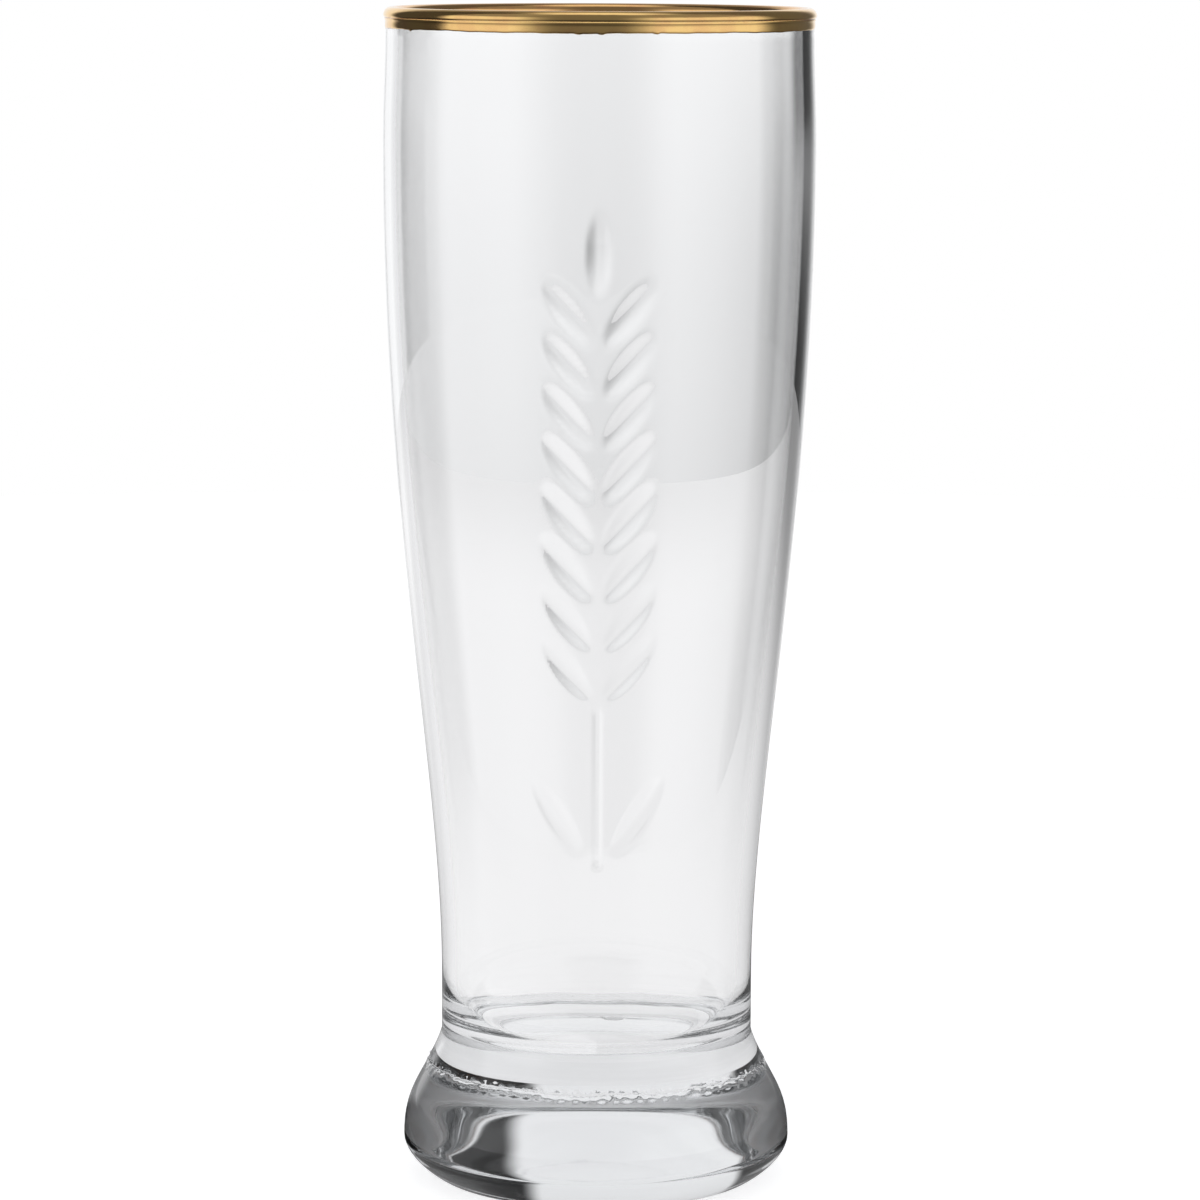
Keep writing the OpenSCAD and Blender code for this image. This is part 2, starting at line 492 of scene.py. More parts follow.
def mesh_object(name: str, vertices: np.ndarray, faces: list[list[int]]) -> bpy.types.Object:
    """Makes a smooth mesh object at the origin.

    Args:
        name: The piece's name.
        vertices: One row for each vertex, in metres.
        faces: Vertex numbers, in order round each face.

    Returns:
        The object, linked to the scene.
    """
    mesh = bpy.data.meshes.new(name)
    mesh.from_pydata(vertices.tolist(), [], faces)
    mesh.polygons.foreach_set("use_smooth", [True] * len(mesh.polygons))
    mesh.update()
    piece = bpy.data.objects.new(name, mesh)
    bpy.context.scene.collection.objects.link(piece)
    return piece


def ring_quads(rows: int, columns: int, closed: bool) -> list[list[int]]:
    """Faces between rings of vertices.

    Args:
        rows: How many rings there are.
        columns: Vertices in each ring.
        closed: Whether the last ring joins the first.

    Returns:
        Vertex numbers of each four-sided face, facing outwards for an outline that runs up the outside.
    """
    r, c = np.meshgrid(np.arange(rows if closed else rows - 1), np.arange(columns), indexing="ij")
    up, on = (r + 1) % rows, (c + 1) % columns
    quads = np.stack([r * columns + c, r * columns + on, up * columns + on, up * columns + c], axis=-1)
    return quads.reshape(-1, 4).tolist()


# Finishes

@dataclass(frozen=True)
class ClearGlass:
    """Clear soda glass that swallows a little light in its depth, rippled by the mould and wiped by hand.

    Its standing ring is ground, its pressed hollow slightly dull, and a small mark on the floor inside is
    dull, with painted shade in a grey ring on its sloping sides.
    Lengths here are metres. A pair of numbers is where a change starts and where it ends.
    """

    deep: Colour = (0.64, 0.66, 0.68)
    density: float = 9.0
    ior: float = 1.5
    smear_scale: float = 46.0
    smear_range: Point = (0.6, 0.78)
    smear_roughness: float = 0.02
    speck_scale: float = 900.0
    speck_range: Point = (0.74, 0.8)
    speck_roughness: float = 0.05
    speck_tint: Colour = (0.9, 0.9, 0.88)
    ripple_scale: float = 70.0
    ripple_height: float = 0.000004
    ground_top: Point = (0.00005, 0.0005)
    ground_roughness: float = 0.35
    hollow_r: Point = (0.0212, 0.0217)
    hollow_top: Point = (0.0045, 0.006)
    hollow_roughness: float = 0.08
    mark_off: float = 0.0026
    mark_in: Point = (0.0003, 0.0009)
    mark_out: Point = (0.0014, 0.0018)
    mark_low: Point = (0.01, 0.011)
    mark_roughness: float = 0.3
    # Painted shade: the grey of the ring round the small mark on the floor inside, standing in for the dark
    # seen through its steep sides.
    pit_rim_painted_shade: Colour = (0.58, 0.59, 0.59)

    def material(self) -> bpy.types.Material:
        """Builds the finish.

        Returns:
            The material.
        """
        material = bpy.data.materials.new("clear_glass")
        material.use_nodes = True
        tree = Tree(material.node_tree)
        place = tree.object_place()
        swept = tree.vector_math("MULTIPLY", place, (1.0, 1.0, 0.25))
        smear = tree.smooth(tree.noise(swept, self.smear_scale, 4.0, 0.6), *self.smear_range)
        speck = tree.smooth(tree.noise(place, self.speck_scale, 1.0), *self.speck_range)
        x, y, z = tree.axes(place)
        ground = tree.fall(z, *self.ground_top)
        hollow = tree.fall(z, *self.hollow_top) * tree.fall(tree.from_axis(x, y), *self.hollow_r)
        off = tree.from_axis(x - self.mark_off, y)
        mark = tree.smooth(off, *self.mark_in) * tree.fall(off, *self.mark_out)
        mark = mark * tree.smooth(z, *self.mark_low)
        plain = tree.blend(speck * 0.3, WHITE, self.speck_tint)
        roughness = self.smear_roughness * smear + self.speck_roughness * speck
        roughness = roughness + self.ground_roughness * ground + self.hollow_roughness * hollow
        bump = tree.add("ShaderNodeBump", None, {
            "Strength": 1.0,
            "Distance": self.ripple_height,
            "Height": tree.noise(swept, self.ripple_scale, 1.0)})
        shader = tree.add("ShaderNodeBsdfPrincipled", None, {
            # The ring round the mark is dulled, and painted grey as shade.
            "Base Color": tree.blend(mark, plain, self.pit_rim_painted_shade),
            "Roughness": roughness + self.mark_roughness * mark,
            "IOR": self.ior,
            "Transmission Weight": 1.0,
            "Normal": bump.outputs["Normal"],
        })
        depth = tree.add("ShaderNodeVolumeAbsorption", None, {
            "Color": (*self.deep, 1.0), "Density": self.density})
        tree.add("ShaderNodeOutputMaterial", None, {
            "Surface": shader.outputs[0], "Volume": depth.outputs[0]})
        return material


@dataclass(frozen=True)
class FiredGold:
    """Bright gold fired on the lip, brushed round, and thinner and more coppery in patches and inside.

    Lengths here are metres. A pair of numbers is where a change starts and where it ends.
    """

    bright: Colour = (0.92, 0.61, 0.235)
    thin: Colour = (0.78, 0.42, 0.19)
    thin_patches: float = 0.45
    thin_inside: float = 0.5
    patch_scale: float = 240.0
    patch_range: Point = (0.42, 0.68)
    inside_r: Point = (0.0306, 0.0313)
    brush_scale: float = 700.0
    brush_depth: float = 0.00005
    brush_strength: float = 0.12
    roughness: float = 0.06
    patch_roughness: float = 0.06
    brush_roughness: float = 0.04

    def material(self) -> bpy.types.Material:
        """Builds the finish.

        Returns:
            The material.
        """
        material = bpy.data.materials.new("fired_gold")
        material.use_nodes = True
        tree = Tree(material.node_tree)
        place = tree.object_place()
        x, y, _ = tree.axes(place)
        inside = tree.fall(tree.from_axis(x, y), *self.inside_r)
        patch = tree.smooth(tree.noise(place, self.patch_scale, 4.0, 0.6), *self.patch_range)
        brushed = tree.noise(tree.vector_math("MULTIPLY", place, (1.0, 1.0, 9.0)), self.brush_scale, 3.0)
        bump = tree.add("ShaderNodeBump", None, {
            "Strength": self.brush_strength, "Distance": self.brush_depth, "Height": brushed})
        thinned = patch * self.thin_patches + inside * self.thin_inside
        shader = tree.add("ShaderNodeBsdfPrincipled", None, {
            "Base Color": tree.blend(thinned, self.bright, self.thin),
            "Metallic": 1.0,
            "Roughness": self.roughness + self.patch_roughness * patch + self.brush_roughness * brushed,
            "Normal": bump.outputs["Normal"],
        })
        tree.add("ShaderNodeOutputMaterial", None, {"Surface": shader.outputs[0]})
        return material


# The fused glass

@dataclass(frozen=True)
class MouldedDetails:
    """What the mould and the blowing leave on the glass, raised from its plain surface by one rule each.

    An ear of barley on the front in rows, the rope-like twist of the seam, and a floor that isn't quite flat.
    """

    stalk_low_z: float = 51.0
    stalk_len: float = 24.0
    stalk_w: float = 1.2
    stalk_rise: float = 0.35
    ear_rows: int = 8
    row_pitch: float = 7.4
    grain_len: float = 12.0
    grain_w: float = 3.8
    rise: float = 0.5
    grain_lean: float = 38.0
    leaf_len: float = 14.0
    leaf_w: float = 3.8
    leaf_lean: float = 32.0
    tip_gap: float = 0.8
    leaf_gap: float = 1.8
    seam_turns: float = 84.0
    seam_slant: float = 5200.0
    seam_depth: float = 0.2
    seam_z: float = 17.3
    seam_lumps: float = 420.0
    floor_sway: float = 0.4
    floor_sway_scale: float = 48.0

    def tree(self, finish: bpy.types.Material) -> tuple[bpy.types.NodeTree, dict[str, float]]:
        """Builds the geometry tree.

        Args:
            finish: The glass's material.

        Returns:
            The tree, and the value of each named input by its socket's identifier.
        """
        group = bpy.data.node_groups.new("moulded_details", "GeometryNodeTree")
        tree = Tree(group)
        sizes = {
            "Stalk foot": self.stalk_low_z * MM,
            "Stalk length": self.stalk_len * MM,
            "Stalk width": self.stalk_w * MM,
            "Stalk rise": self.stalk_rise * MM,
            "Rows": float(self.ear_rows),
            "Row pitch": self.row_pitch * MM,
            "Grain length": self.grain_len * MM,
            "Grain width": self.grain_w * MM,
            "Rise": self.rise * MM,
            "Grain lean": math.radians(self.grain_lean),
            "Leaf length": self.leaf_len * MM,
            "Leaf width": self.leaf_w * MM,
            "Leaf lean": math.radians(self.leaf_lean),
            "Tip gap": self.tip_gap * MM,
            "Leaf gap": self.leaf_gap * MM,
            "Seam turns": self.seam_turns,
            "Seam slant": self.seam_slant,
            "Seam depth": self.seam_depth * MM,
            "Seam height": self.seam_z * MM,
            "Seam lumps": self.seam_lumps,
            "Floor sway": self.floor_sway * MM,
            "Floor sway scale": self.floor_sway_scale,
        }
        group.interface.new_socket("Geometry", in_out="INPUT", socket_type="NodeSocketGeometry")
        identifiers = {}
        for name, value in sizes.items():
            socket = group.interface.new_socket(name, in_out="INPUT", socket_type="NodeSocketFloat")
            identifiers[socket.identifier] = value
        group.interface.new_socket("Geometry", in_out="OUTPUT", socket_type="NodeSocketGeometry")
        given = tree.add("NodeGroupInput")
        size = {name: tree.out(given, name) for name in sizes}

        place = tree.out(tree.add("GeometryNodeInputPosition"))
        x, y, z = tree.axes(place)
        radius = tree.from_axis(x, y)
        turn = tree.math("ARCTAN2", x, -y)
        side = abs(turn * radius)
        height = tree.math("MAXIMUM", self.grains(tree, size, side, z), self.blades(tree, size, side, z))
        height = tree.math("MAXIMUM", height, 0.0) * self.flag(tree, "outer_wall")

        near = self.flag(tree, "seam_weight")
        twist = turn * size["Seam turns"] + (z - size["Seam height"]) * size["Seam slant"]
        lumps = tree.noise(place, size["Seam lumps"], 3.0) - 0.5
        wave = tree.math("SINE", twist + lumps * 9.0)
        groove = near * size["Seam depth"] * (wave + lumps * 2.0)
        wander = near * size["Seam depth"] * tree.math("SINE", turn * 11.0 + lumps * 14.0)
        sway = (tree.noise(place, size["Floor sway scale"], 2.0) - 0.5) * self.flag(tree, "floor_weight")
        sway = sway * 2.0 * size["Floor sway"]
        out = height + groove + sway * tree.smooth(radius, 0.004, 0.016)
        move = out / tree.math("MAXIMUM", radius, 1e-6)
        rise = wander + sway
        offset = tree.add("ShaderNodeCombineXYZ", None, {"X": x * move, "Y": y * move, "Z": rise})
        moved = tree.add("GeometryNodeSetPosition", None, {
            "Geometry": given.outputs["Geometry"], "Offset": offset.outputs[0]})
        real = tree.add("GeometryNodeRealizeInstances", None, {"Geometry": moved.outputs[0]})
        dressed = tree.add("GeometryNodeSetMaterial", None, {
            "Geometry": real.outputs[0], "Material": finish})
        tree.add("NodeGroupOutput", None, {"Geometry": dressed.outputs[0]})
        return group, identifiers

    def flag(self, tree: Tree, name: str) -> Sock:
        """Reads a number kept on each vertex."""
        node = tree.add("GeometryNodeInputNamedAttribute", {"data_type": "FLOAT"}, {"Name": name})
        return tree.out(node, "Attribute")

    def mound(self, tree: Tree, size: dict[str, Sock], along: Value, across: Value, kind: str) -> Sock:
        """Height of one rounded grain or leaf.

        Args:
            tree: Not used.
            size: The named inputs.
            along: Distance from its middle, along it.
            across: Distance from its middle line.
            kind: "Grain" or "Leaf".

        Returns:
            The height above the wall, below 0 outside it.
        """
        long = along * 2.0 / size[f"{kind} length"]
        wide = across * 2.0 / size[f"{kind} width"]
        return size["Rise"] * (1.0 - long * long - wide * wide)

    def grains(self, tree: Tree, size: dict[str, Sock], side: Sock, z: Sock) -> Sock:
        """Height of the two columns of grains and the grain on top.

        Args:
            tree: The tree to add to.
            size: The named inputs.
            side: Distance from the front's middle line, round the wall.
            z: Height above the table.

        Returns:
            The height above the wall.
        """
        sine = tree.math("SINE", size["Grain lean"])
        cosine = tree.math("COSINE", size["Grain lean"])
        first = size["Stalk foot"] + size["Stalk length"] + size["Tip gap"]
        first = first + size["Grain length"] * cosine / 2.0
        out = side - size["Tip gap"] - size["Grain length"] * sine / 2.0
        up = z - first
        step = size["Row pitch"] * sine
        across = out * cosine - up * sine
        row = tree.math("ROUND", across / step * -1.0)
        row = tree.math("MINIMUM", tree.math("MAXIMUM", row, 0.0), size["Rows"] - 1.0)
        along = out * sine + (up - row * size["Row pitch"]) * cosine
        pairs = self.mound(tree, size, along, across + row * step, "Grain")
        last = first + size["Rows"] * size["Row pitch"] + size["Tip gap"]
        top = self.mound(tree, size, z - last, side, "Grain")
        return tree.math("MAXIMUM", pairs, top)

    def blades(self, tree: Tree, size: dict[str, Sock], side: Sock, z: Sock) -> Sock:
        """Height of the stalk and its two leaves.

        Args:
            tree: The tree to add to.
            size: The named inputs.
            side: Distance from the front's middle line, round the wall.
            z: Height above the table.

        Returns:
            The height above the wall.
        """
        sine = tree.math("SINE", size["Leaf lean"])
        cosine = tree.math("COSINE", size["Leaf lean"])
        out = side - size["Leaf gap"] - size["Stalk width"] / 2.0 - size["Leaf length"] * sine / 2.0
        up = z - size["Stalk foot"] - size["Leaf gap"] - size["Leaf length"] * cosine / 2.0
        leaf = self.mound(tree, size, out * sine + up * cosine, out * cosine - up * sine, "Leaf")
        edge = tree.math("MINIMUM", size["Stalk width"] / 2.0 - side, z - size["Stalk foot"])
        edge = tree.math("MINIMUM", edge, size["Stalk foot"] + size["Stalk length"] - z)
        stalk = tree.math("MINIMUM", edge * 1.4, size["Stalk rise"])
        return tree.math("MAXIMUM", leaf, stalk)


@dataclass(frozen=True)
class FusedGlass:
    """Bowl, foot and relief as one clear body, because the real ones are fused."""

    outline: GlassOutline = field(default_factory=GlassOutline)
    details: MouldedDetails = field(default_factory=MouldedDetails)
    finish: ClearGlass = field(default_factory=ClearGlass)
    mark_r: float = 1.6
    mark_depth: float = 0.55
    mark_off: float = 2.6
    seam_band: float = 0.65
    floor_band: float = 12.0
    turns: Point = (90.0, 24.0)
    steps: tuple[int, int, int] = (41, 51, 54)

    def columns(self) -> np.ndarray:
        """Angles of the mesh's columns, in radians from the front, closest together over the relief."""
        side, near = self.turns
        back_steps, side_steps, front_steps = self.steps
        bands = (
            (-180.0, -side, back_steps),
            (-side, -near, side_steps),
            (-near, near, front_steps),
            (near, side, side_steps),
            (side, 180.0, back_steps))
        return np.radians(np.concatenate([np.linspace(a, b, n, endpoint=False) for a, b, n in bands]))

    def body(self) -> bpy.types.Object:
        """Turns the outline into a closed mesh, and notes on its vertices where details go.

        Returns:
            The object.
        """
        points, kinds = self.outline.rows()
        turn = self.columns()
        ring, kind = points[1:-1], kinds[1:-1]
        rows, columns = len(ring), len(turn)
        radius, height = (np.repeat(ring[:, i][:, None], columns, axis=1) for i in (0, 1))
        x, y = radius * np.sin(turn), -radius * np.cos(turn)
        on_floor = (kind == Surface.INSIDE.value) & (ring[:, 1] < self.outline.floor_z + 0.1)
        off = np.hypot(x - self.mark_off, y) / self.mark_r
        pit = self.mark_depth * np.clip(1.0 - off * off, 0.0, 1.0)
        height = height - np.where(on_floor[:, None], pit, 0.0)
        grid = np.stack([x, y, height], axis=-1).reshape(-1, 3)
        vertices = np.vstack([grid, [[0.0, 0.0, points[0, 1]], [0.0, 0.0, points[-1, 1]]]]) * MM
        faces = ring_quads(rows, columns, False)
        low, high, last = rows * columns, rows * columns + 1, (rows - 1) * columns
        for c in range(columns):
            on = (c + 1) % columns
            faces.append([low, on, c])
            faces.append([high, last + c, last + on])
        piece = mesh_object("clear_glass_body", vertices, faces)
        seam = np.clip(1.0 - np.abs(ring[:, 1] - self.outline.foot_h) / self.seam_band, 0.0, 1.0)
        low_inside = np.clip(1.0 - (ring[:, 1] - self.outline.floor_z) / self.floor_band, 0.0, 1.0)
        weights = {
            "outer_wall": ((kind == Surface.OUTSIDE.value).astype(float), 0.0),
            "seam_weight": (np.where(kind == Surface.SEAM.value, seam, 0.0), 0.0),
            "floor_weight": (np.where(kind == Surface.INSIDE.value, low_inside, 0.0), 1.0),
        }
        for name, (rows_of, floor_middle) in weights.items():
            layer = piece.data.attributes.new(name, "FLOAT", "POINT")
            layer.data.foreach_set("value", np.append(np.repeat(rows_of, columns), [0.0, floor_middle]))
        return piece

    def build(self) -> bpy.types.Object:
        """Builds the glass and puts it in place of its three nodes.

        Returns:
            The finished piece.
        """
        finish = self.finish.material()
        rough = self.body()
        modifier = rough.modifiers.new("moulded_details", "NODES")
        group, values = self.details.tree(finish)
        modifier.node_group = group
        for identifier, value in values.items():
            modifier[identifier] = value
        bpy.context.view_layer.update()
        seen = rough.evaluated_get(bpy.context.evaluated_depsgraph_get())
        mesh = bpy.data.meshes.new_from_object(seen)
        piece = bpy.data.objects.new("clear_glass_body", mesh)
        bpy.data.objects.remove(rough)
        piece.name = "clear_glass_body"
        for name in ("outer_wall", "seam_weight", "floor_weight"):
            if name in mesh.attributes:
                mesh.attributes.remove(mesh.attributes[name])
        mesh.materials.clear()
        mesh.materials.append(finish)
        bpy.context.scene.collection.objects.link(piece)
        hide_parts("bowl", "foot", "front_relief")
        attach(piece, BODY)
        return piece


@dataclass(frozen=True)
class GildedLip:
    """The gold skin fired over the lip, with the slightly uneven edge of a hand-banded line."""

    outline: GlassOutline = field(default_factory=GlassOutline)
    finish: FiredGold = field(default_factory=FiredGold)
    drop_out: float = 3.1
    drop_in: float = 2.8
    root: float = 0.05
    wander: float = 0.09
    crease: float = 0.12
    crease_drop: float = 1.55
    crease_w: float = 0.22
    runs: tuple[Point, ...] = ((-60.0, 0.25), (-5.6, 0.16), (0.4, 0.2), (14.7, 0.22), (97.0, 0.2))
    run_w: float = 0.35
    waves: tuple[tuple[int, float], ...] = ((2, 0.5), (5, 0.4), (13, 0.35), (31, 0.25), (67, 0.15))
    feather: tuple[float, ...] = (0.12, 0.7, 1.0, 1.0, 1.0)
    columns: int = 480

    def edge(self, drop: float, turn: np.ndarray, phase: float) -> np.ndarray:
        """Height of a lower edge round the lip.

        Args:
            drop: Mean drop from the top.
            turn: Angles of the columns.
            phase: Turns the pattern, so that the two edges differ.

        Returns:
            One height for each column.
        """
        wave = sum(np.sin(n * turn + n * n + phase) * s for n, s in self.waves)
        height = self.outline.glass_h - drop + self.wander * wave
        for degrees, length in self.runs:
            away = turn - math.radians(degrees) - phase
            gap = np.arctan2(np.sin(away), np.cos(away))
            height -= length * np.exp(-((gap * self.outline.neck_r / self.run_w) ** 2))
        return height

    def build(self) -> bpy.types.Object:
        """Builds the gold and puts it in place of its node.

        Returns:
            The finished piece.
        """
        shape = self.outline
        turn = np.linspace(-math.pi, math.pi, self.columns, endpoint=False)
        outside, inside = shape.wall(120, 60), shape.wall_inside(120, 60)
        low_out, low_in = self.edge(self.drop_out, turn, 0.0), self.edge(self.drop_in, turn, 1.9)
        neck = shape.neck_z

        def skin(film: float) -> list[tuple[np.ndarray, np.ndarray]]:
            """Makes one face of the gold.

            Args:
                film: How far outside the glass the face lies.

            Returns:
                The radii and heights of its rows, from the outer edge over the lip to the inner one.
            """
            feather = self.feather if film > 0 else (1.0,) * len(self.feather)
            shares = [i / (len(feather) - 1) for i in range(len(feather))]
            rows = []
            for share, thick in zip(shares, feather):
                z = low_out + (neck - low_out) * share
                rows.append((np.interp(z, outside[:, 1], outside[:, 0]) + film * thick, z))
            for r, z in shape.bead(72, film)[1:-1]:
                outer = film > 0 and r > shape.neck_r
                away = (z - shape.glass_h + self.crease_drop) / self.crease_w
                dip = self.crease * math.exp(-(away ** 2)) * outer
                rows.append((np.full(len(turn), r - dip), np.full(len(turn), z)))
            for share, thick in zip(reversed(shares), reversed(feather)):
                z = low_in + (neck - low_in) * share
                rows.append((np.interp(z, inside[:, 1], inside[:, 0]) - film * thick, z))
            return rows

        rows = skin(shape.gold_t) + skin(-self.root)[::-1]
        radius = np.array([r for r, _ in rows])
        height = np.array([z for _, z in rows])
        grid = np.stack([radius * np.sin(turn), -radius * np.cos(turn), height], axis=-1)
        faces = ring_quads(len(rows), len(turn), True)
        piece = mesh_object("gilded_lip", grid.reshape(-1, 3) * MM, faces)
        piece.data.materials.append(self.finish.material())
        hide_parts("rim_gold")
        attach(piece, BODY)
        return piece


# The studio

@dataclass(frozen=True)
class Screen:
    """One of the photographer's screens.

    Azimuths are degrees from +Y towards +X, heights are degrees from level, and tones run from 0 to 1.
    """

    start: float
    end: float
    tone: float
    soft: float = 2.5
    low: float = -90.0
    top: float = 50.0
    low_soft: float = 0.02
    top_soft: float = 0.05

    def over(self, tree: Tree, way: Way, behind: Value) -> Sock:
        """Puts the screen in front of what is behind it.

        Args:
            tree: The tree to add to.
            way: The direction looked in, with z as the sine of its height.
            behind: The tone behind the screen.

        Returns:
            The tone seen.
        """
        x, y, z = way
        middle = math.radians((self.start + self.end) / 2)
        half = (self.end - self.start) / 2
        turned = (x * math.sin(middle) + y * math.cos(middle)) / tree.level(x, y)
        beside = tree.smooth(
            turned,
            math.cos(math.radians(half + self.soft)),
            math.cos(math.radians(max(half - self.soft, 0.1))))
        low, top = math.sin(math.radians(self.low)), math.sin(math.radians(self.top))
        above = tree.smooth(z, low - self.low_soft, low + self.low_soft)
        below = tree.fall(z, top - self.top_soft, top + self.top_soft)
        return behind + beside * above * below * (self.tone - behind)


BEHIND_THE_GLASS = (
    Screen(160.0, 214.0, 0.19, soft=15.0),
    Screen(10.0, 40.0, 0.3, soft=10.0, top=-2.0),
    Screen(-50.0, -14.0, 1.0, soft=5.0, top=-2.0),
    Screen(18.0, 38.0, 0.025, top=-4.0),
    Screen(38.0, 70.0, 0.24, top=0.0),
    Screen(-70.0, -44.0, 0.035, top=0.0),
    Screen(13.0, 62.0, 0.025, low=-3.0, top=24.0),
    Screen(-75.0, -36.0, 0.035, low=0.0, top=24.0),
)

ROUND_THE_GOLD = (
    Screen(-88.0, -36.0, 0.07, soft=6.0, top=72.0),
    Screen(160.0, 214.0, 0.19, soft=15.0, top=72.0),
    Screen(22.0, 80.0, 0.13, soft=10.0, top=72.0),
)


@dataclass(frozen=True)
class Studio:
    """A white table and backdrop under plain soft light, with dark screens that only glass and gold show.

    Tones run from 0 to 1. A pair of numbers is where a change starts and where it ends. It is in metres on
    the table, in radians for a turn from +Y towards +X, and the sine of a height or of a turn in the world.
    """

    table_r: float = 0.91
    table_gap: float = 0.00002
    table_white: Colour = (0.95, 0.95, 0.96)
    table_matt: Colour = (0.8, 0.8, 0.8)
    backdrop: Colour = (0.985, 0.99, 1.0)
    bright: float = 1.0
    plain: float = 0.62
    glow: float = 0.66
    bent_glow: float = 0.765
    bent_matt_loss: float = 0.7
    # Painted shade on the table's right, and painted light on its left and near the glass, in what the glass
    # lets through.
    right_shade: float = 0.6
    right_turn: Point = (0.06, 0.45)
    right_y: Point = (0.1, 0.6)
    left_lift: float = 0.12
    left_turn: Point = (0.1, 0.5)
    near_lift: float = 1.06
    far_loss: float = 0.16
    far_r: Point = (0.6, 0.95)
    # Painted shadow of the foot on the table, full out to the first radius in metres and gone at the second,
    # for light trapped in the foot.
    foot_r: Point = (0.1, 0.25)
    # Painted shadows of the screens on the table, deepest near the glass, in what the gold mirrors.
    mirror_near: float = 0.3
    mirror_r: Point = (0.1, 0.7)
    low_sky: float = 0.8
    horizon: Point = (-0.14, 0.02)
    high_loss: float = 0.7
    high_band: Point = (0.3, 0.6)
    overhead: Point = (0.9, 0.98)
    deep_shade: float = 0.85
    ahead: Point = (0.34, 0.8)
    aloft: Point = (0.3, 0.45)
    trapped_turns: Point = (5.0, 6.0)
    trapped_passes: Point = (2.0, 4.0)

    def table(self) -> bpy.types.Object:
        """Makes the table's round top, just under the glass.

        Returns:
            The floor.
        """
        turn = np.linspace(0.0, 2.0 * math.pi, 128, endpoint=False)
        ring = np.column_stack([np.cos(turn), np.sin(turn), np.zeros(len(turn))]) * self.table_r
        vertices = np.vstack([[[0.0, 0.0, 0.0]], ring]) - np.array([0.0, 0.0, self.table_gap])
        faces = [[0, 1 + i, 1 + (i + 1) % len(turn)] for i in range(len(turn))]
        top = mesh_object("table_top", vertices, faces)
        top.data.materials.append(self.table_finish())
        return top

    def table_finish(self) -> bpy.types.Material:
        """Builds the table's white, and the tones that the glass and the gold show of it, with painted light
        and shade: a shadow under the foot, shade on the right, light on the left and near the glass, and
        shadows of the screens.

        Returns:
            The material.
        """
        material = bpy.data.materials.new("white_table")
        material.use_nodes = True
        tree = Tree(material.node_tree)
        x, y, _ = tree.axes(tree.object_place())
        turn, out = tree.math("ARCTAN2", x, y), tree.from_axis(x, y)
        path = tree.add("ShaderNodeLightPath")
        bent, glossy = tree.out(path, "Is Transmission Ray"), self.mirror_ray(tree, path)
        # Painted shadows of the screens, deepest near the glass, where the gold mirrors the table.
        mirrored = self.screened(tree, ROUND_THE_GOLD, (x, y, 0.0), self.bright)
        mirrored = mirrored * (self.mirror_near + (1.0 - self.mirror_near) * tree.smooth(out, *self.mirror_r))
        # Painted shade on the right, painted light on the left and near the glass, where the glass lets the
        # table through.
        shade = self.right_shade * tree.smooth(turn, *self.right_turn) * tree.smooth(y, *self.right_y)
        # Painted shadow of the foot on the table, for light that was turned back many times inside the foot.
        painted_foot_shadow = tree.fall(out, *self.foot_r) * self.trapped(tree, path)
        passed = bent * (self.bent_glow - shade) * (1.0 - painted_foot_shadow)
        passed = passed * (self.near_lift - self.far_loss * tree.smooth(out, *self.far_r))
        passed = passed * (1.0 + self.left_lift * tree.smooth(-turn, *self.left_turn))
        tone = tree.out(path, "Is Camera Ray") * self.glow + passed + glossy * mirrored
        matt = tree.add("ShaderNodeBsdfDiffuse", None, {
            "Color": tree.blend(glossy + self.bent_matt_loss * bent, self.table_matt, BLACK)})
        glow = tree.add("ShaderNodeEmission", None, {
            "Color": tree.blend(tone, BLACK, self.table_white), "Strength": 1.0})
        both = tree.add("ShaderNodeAddShader", None, {0: matt.outputs[0], 1: glow.outputs[0]})
        tree.add("ShaderNodeOutputMaterial", None, {"Surface": both.outputs[0]})
        return material

    def world(self) -> bpy.types.World:
        """Builds the light all round.

        Returns:
            The scene's world.
        """
        world = bpy.data.worlds.new("studio")
        world.use_nodes = True
        bpy.context.scene.world = world
        tree = Tree(world.node_tree)
        x, y, z = tree.axes(tree.out(tree.add("ShaderNodeTexCoord"), "Generated"))
        path = tree.add("ShaderNodeLightPath")
        passed = self.bright * (self.low_sky + (1.0 - self.low_sky) * tree.smooth(z, *self.horizon))
        passed = self.screened(tree, BEHIND_THE_GLASS, (x, y, z), passed)
        beside = tree.fall(y / tree.level(x, y), *self.ahead) * tree.fall(z, *self.aloft)
        passed = passed * (1.0 - self.deep_shade * beside * self.trapped(tree, path))
        high = tree.smooth(z, *self.high_band) * tree.fall(z, *self.overhead)
        mirrored = self.screened(tree, ROUND_THE_GOLD, (x, y, z), self.bright * (1.0 - self.high_loss * high))
        tone = passed + self.mirror_ray(tree, path) * (mirrored - passed)
        colour = tree.blend(tone, BLACK, self.backdrop)
        colour = tree.blend(tree.out(path, "Is Diffuse Ray"), colour, (self.plain,) * 3)
        colour = tree.blend(tree.out(path, "Is Camera Ray"), colour, WHITE)
        sky = tree.add("ShaderNodeBackground", None, {"Color": colour, "Strength": 1.0})
        tree.add("ShaderNodeOutputWorld", None, {"Surface": sky.outputs[0]})
        return world

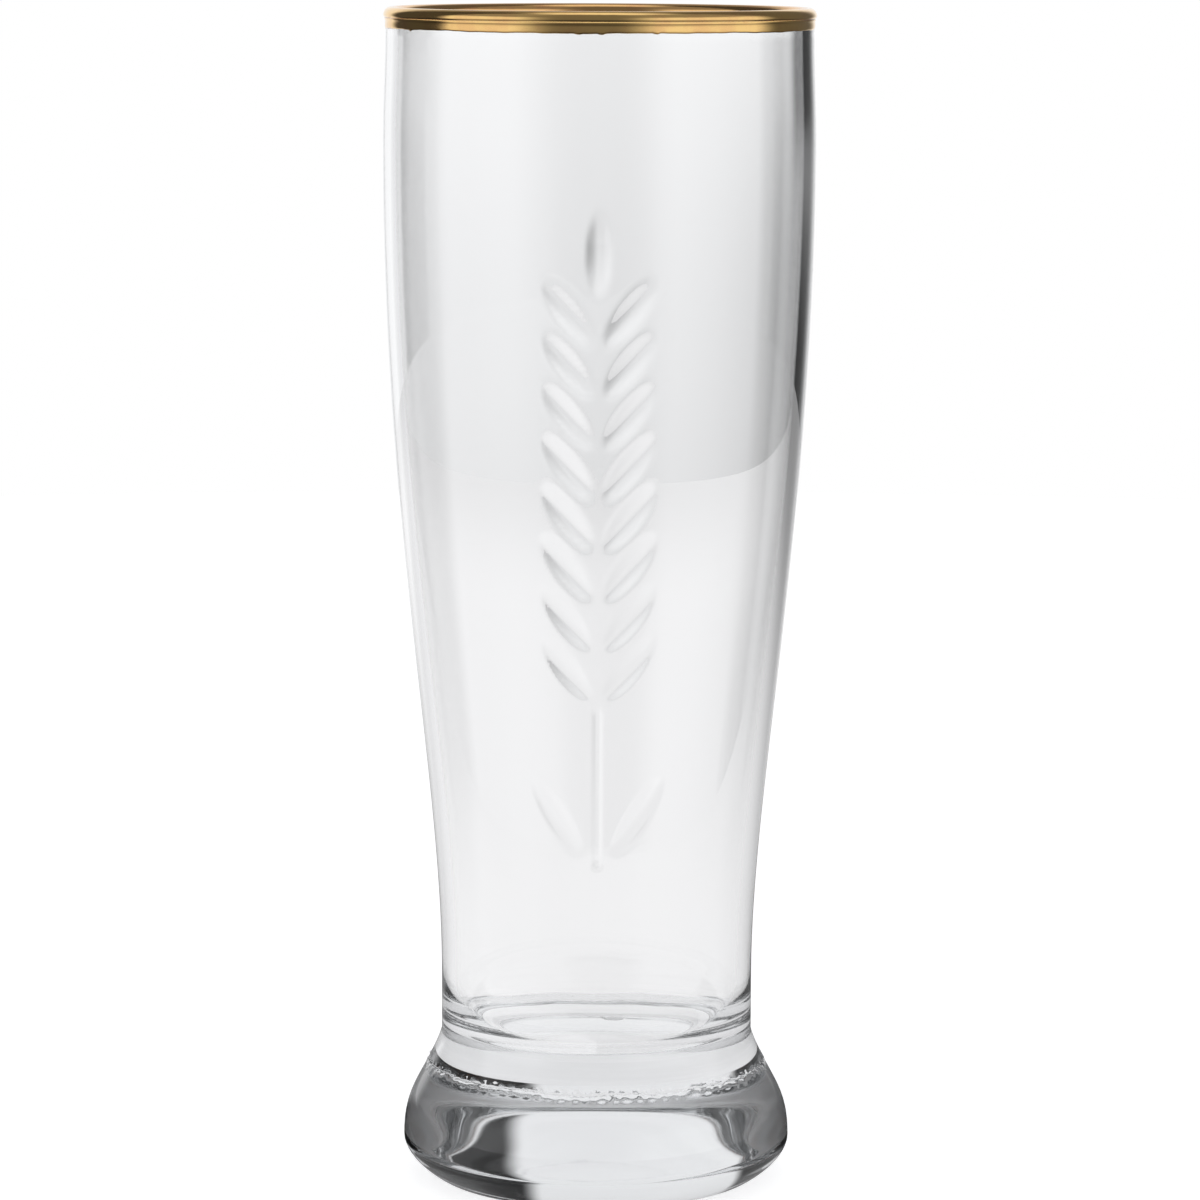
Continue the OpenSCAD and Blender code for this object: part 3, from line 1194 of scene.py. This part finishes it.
    def screened(self, tree: Tree, screens: tuple[Screen, ...], way: Way, tone: Value) -> Value:
        """Stands screens before a tone, one after another.

        Args:
            tree: The tree to add to.
            screens: The screens, the farthest first.
            way: The direction looked in.
            tone: The tone behind them all.

        Returns:
            The tone seen.
        """
        for screen in screens:
            tone = screen.over(tree, way, tone)
        return tone

    def mirror_ray(self, tree: Tree, path: bpy.types.Node) -> Sock:
        """Returns 1 for light that a shiny face turns back, and 0 for light that the glass lets through."""
        return tree.out(path, "Is Glossy Ray") * (1.0 - tree.out(path, "Is Transmission Ray"))

    def trapped(self, tree: Tree, path: bpy.types.Node) -> Sock:
        """Picks out light that was turned back many times inside the foot alone.

        Args:
            tree: The tree to add to.
            path: Its Light Path node.

        Returns:
            1 for such light and 0 for all other.
        """
        turns = tree.smooth(tree.out(path, "Ray Depth"), *self.trapped_turns)
        return turns * tree.fall(tree.out(path, "Transmission Depth"), *self.trapped_passes)


@dataclass(frozen=True)
class PhotoCamera:
    """The photograph's viewpoint, fitted to the outline of the glass. Lengths are metres."""

    back: float = 0.760
    height: float = 0.18959
    pitch: float = 7.651
    roll: float = 0.22
    lens: float = 154.08
    shift: Point = (0.0017, -0.0026)

    def build(self) -> bpy.types.Object:
        """Makes the scene's camera.

        Returns:
            The camera.
        """
        data = bpy.data.cameras.new("photo_camera")
        data.sensor_width = 36.0
        data.lens = self.lens
        data.shift_x, data.shift_y = self.shift
        data.clip_start, data.clip_end = 0.01, 50.0
        camera = bpy.data.objects.new("photo_camera", data)
        tilt = Matrix.Rotation(math.radians(90.0 - self.pitch), 4, "X")
        roll = Matrix.Rotation(math.radians(self.roll), 4, "Z")
        camera.matrix_world = Matrix.Translation((0.0, -self.back, self.height)) @ tilt @ roll
        bpy.context.scene.collection.objects.link(camera)
        bpy.context.scene.camera = camera
        return camera


def main() -> None:
    """Builds the glass, then the studio round it."""
    logging.basicConfig(level=logging.INFO)
    scene = bpy.context.scene
    scene.view_settings.view_transform = "Standard"
    scene.cycles.max_bounces = scene.cycles.transmission_bounces = scene.cycles.glossy_bounces = 40
    for maker in (FusedGlass(), GildedLip()):
        piece = maker.build()
        LOG.info("%s: %d faces", piece.name, len(piece.data.polygons))
    studio = Studio()
    studio.table()
    studio.world()
    PhotoCamera().build()


if __name__ == "__main__":
    main()
